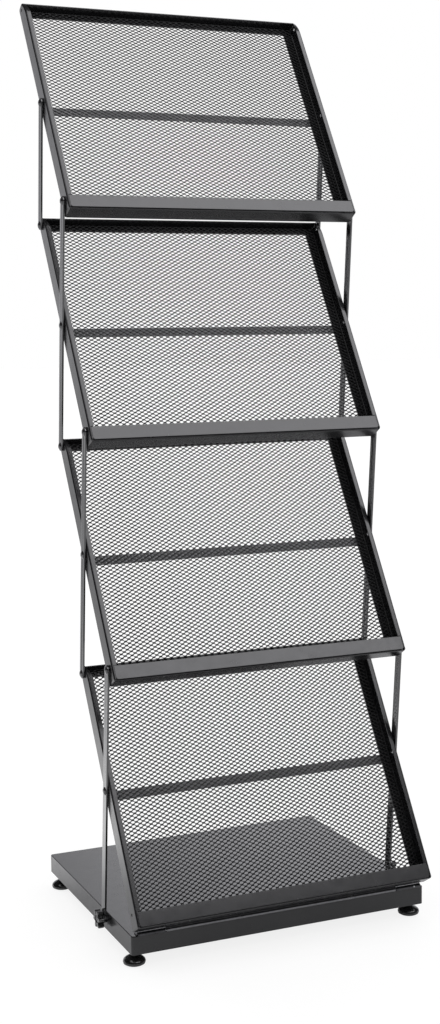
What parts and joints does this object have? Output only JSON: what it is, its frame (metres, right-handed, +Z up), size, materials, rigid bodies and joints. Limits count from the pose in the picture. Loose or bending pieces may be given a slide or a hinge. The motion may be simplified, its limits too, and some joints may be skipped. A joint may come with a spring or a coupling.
{
  "type": "periodical display rack",
  "caption": "Free-standing folding steel rack: leaning mesh trays with front lips, one above the other on side link bars over a pressed base with feet and clamp knobs.",
  "frame": {"origin": "on the floor, under the middle of the rack's overall box", "axes": "+Z up, +X to the rack's right as its front is faced, +Y to its back"},
  "size_m": [0.509, 0.4727, 1.4251],
  "materials": {
    "powder_coat_black": "satin black powder coat with a fine texture",
    "mesh_black": "black powder coated expanded metal",
    "rivet_steel": "bright zinc plate",
    "plated_steel": "dull zinc plate",
    "knob_plastic": "fine-grained black moulded plastic",
    "foot_plastic": "glossy black moulded plastic"
  },
  "bodies": {
    "base": {"base_pan": "powder_coat_black", "hinge_barrel_left": "powder_coat_black", "hinge_barrel_right": "powder_coat_black", "hinge_pin": "plated_steel", "clamp_nuts": "plated_steel", "foot_nuts": "plated_steel"},
    "tray_4": {"tray_4_left_rail": "powder_coat_black", "tray_4_right_rail": "powder_coat_black", "tray_4_front_lip": "powder_coat_black", "tray_4_top_rail": "powder_coat_black", "tray_4_rear_strap": "powder_coat_black", "tray_4_mesh": "mesh_black", "tray_4_rivets": "rivet_steel", "tray_4_hinge_leaf": "powder_coat_black"},
    "tray_3": {"tray_3_left_rail": "powder_coat_black", "tray_3_right_rail": "powder_coat_black", "tray_3_front_lip": "powder_coat_black", "tray_3_top_rail": "powder_coat_black", "tray_3_rear_strap": "powder_coat_black", "tray_3_mesh": "mesh_black", "tray_3_rivets": "rivet_steel"},
    "tray_2": {"tray_2_left_rail": "powder_coat_black", "tray_2_right_rail": "powder_coat_black", "tray_2_front_lip": "powder_coat_black", "tray_2_top_rail": "powder_coat_black", "tray_2_rear_strap": "powder_coat_black", "tray_2_mesh": "mesh_black", "tray_2_rivets": "rivet_steel"},
    "tray_1": {"tray_1_left_rail": "powder_coat_black", "tray_1_right_rail": "powder_coat_black", "tray_1_front_lip": "powder_coat_black", "tray_1_top_rail": "powder_coat_black", "tray_1_rear_strap": "powder_coat_black", "tray_1_mesh": "mesh_black", "tray_1_rivets": "rivet_steel"},
    "lower_bars": {"lower_bar_left": "powder_coat_black", "lower_bar_right": "powder_coat_black"},
    "second_bars": {"second_bar_left": "powder_coat_black", "second_bar_right": "powder_coat_black"},
    "third_bars": {"third_bar_left": "powder_coat_black", "third_bar_right": "powder_coat_black"},
    "upper_bars": {"upper_bar_left": "powder_coat_black", "upper_bar_right": "powder_coat_black"},
    "knob_left": {"clamp_stud_left": "plated_steel", "clamp_knob_left": "knob_plastic"},
    "knob_right": {"clamp_stud_right": "plated_steel", "clamp_knob_right": "knob_plastic"},
    "foot_front_left": {"foot_front_left": "foot_plastic"},
    "foot_front_right": {"foot_front_right": "foot_plastic"},
    "foot_rear_left": {"foot_rear_left": "foot_plastic"},
    "foot_rear_right": {"foot_rear_right": "foot_plastic"}
  },
  "joints": [
    {"name": "tray_4_fold", "type": "hinge", "parent": "base", "child": "tray_4", "pos_m": [0, -0.21079, 0.0535], "axis": [-1, 0, 0], "range_deg": [0, 54]},
    {"name": "lower_bars_pivot", "type": "hinge", "parent": "tray_4", "child": "lower_bars", "pos_m": [0, -0.11339, 0.23862], "axis": [1, 0, 0], "range_deg": [0, 133]},
    {"name": "tray_3_pivot", "type": "hinge", "parent": "lower_bars", "child": "tray_3", "pos_m": [0, -0.13112, 0.42277], "axis": [-1, 0, 0], "range_deg": [0, 133]},
    {"name": "second_bars_pivot", "type": "hinge", "parent": "tray_3", "child": "second_bars", "pos_m": [0, -0.03388, 0.57838], "axis": [1, 0, 0], "range_deg": [0, 133]},
    {"name": "tray_2_pivot", "type": "hinge", "parent": "second_bars", "child": "tray_2", "pos_m": [0, -0.05161, 0.76253], "axis": [-1, 0, 0], "range_deg": [0, 133]},
    {"name": "third_bars_pivot", "type": "hinge", "parent": "tray_2", "child": "third_bars", "pos_m": [0, 0.04563, 0.91815], "axis": [1, 0, 0], "range_deg": [0, 133]},
    {"name": "tray_1_pivot", "type": "hinge", "parent": "third_bars", "child": "tray_1", "pos_m": [0, 0.0279, 1.1023], "axis": [-1, 0, 0], "range_deg": [0, 133]},
    {"name": "upper_bars_pivot", "type": "hinge", "parent": "tray_1", "child": "upper_bars", "pos_m": [0, 0.12514, 1.25791], "axis": [1, 0, 0], "range_deg": [0, 133]},
    {"name": "knob_left_turn", "type": "hinge", "parent": "base", "child": "knob_left", "pos_m": [-0.247, -0.09413, 0.03854], "axis": [-1, 0, 0], "range_deg": [0, 360]},
    {"name": "knob_right_turn", "type": "hinge", "parent": "base", "child": "knob_right", "pos_m": [0.247, -0.09413, 0.03854], "axis": [1, 0, 0], "range_deg": [0, 360]},
    {"name": "foot_front_left_turn", "type": "hinge", "parent": "base", "child": "foot_front_left", "pos_m": [-0.228, -0.18463, 0.01], "axis": [0, 0, 1], "continuous": true},
    {"name": "foot_front_right_turn", "type": "hinge", "parent": "base", "child": "foot_front_right", "pos_m": [0.228, -0.18463, 0.01], "axis": [0, 0, 1], "continuous": true},
    {"name": "foot_rear_left_turn", "type": "hinge", "parent": "base", "child": "foot_rear_left", "pos_m": [-0.228, 0.15537, 0.01], "axis": [0, 0, 1], "continuous": true},
    {"name": "foot_rear_right_turn", "type": "hinge", "parent": "base", "child": "foot_rear_right", "pos_m": [0.228, 0.15537, 0.01], "axis": [0, 0, 1], "continuous": true}
  ],
  "couplings": [
    {"joint": "lower_bars_pivot", "follows": "tray_4_fold", "ratio": 2.463},
    {"joint": "tray_3_pivot", "follows": "tray_4_fold", "ratio": 2.463},
    {"joint": "second_bars_pivot", "follows": "tray_4_fold", "ratio": 2.463},
    {"joint": "tray_2_pivot", "follows": "tray_4_fold", "ratio": 2.463},
    {"joint": "third_bars_pivot", "follows": "tray_4_fold", "ratio": 2.463},
    {"joint": "tray_1_pivot", "follows": "tray_4_fold", "ratio": 2.463},
    {"joint": "upper_bars_pivot", "follows": "tray_4_fold", "ratio": 2.463}
  ]
}
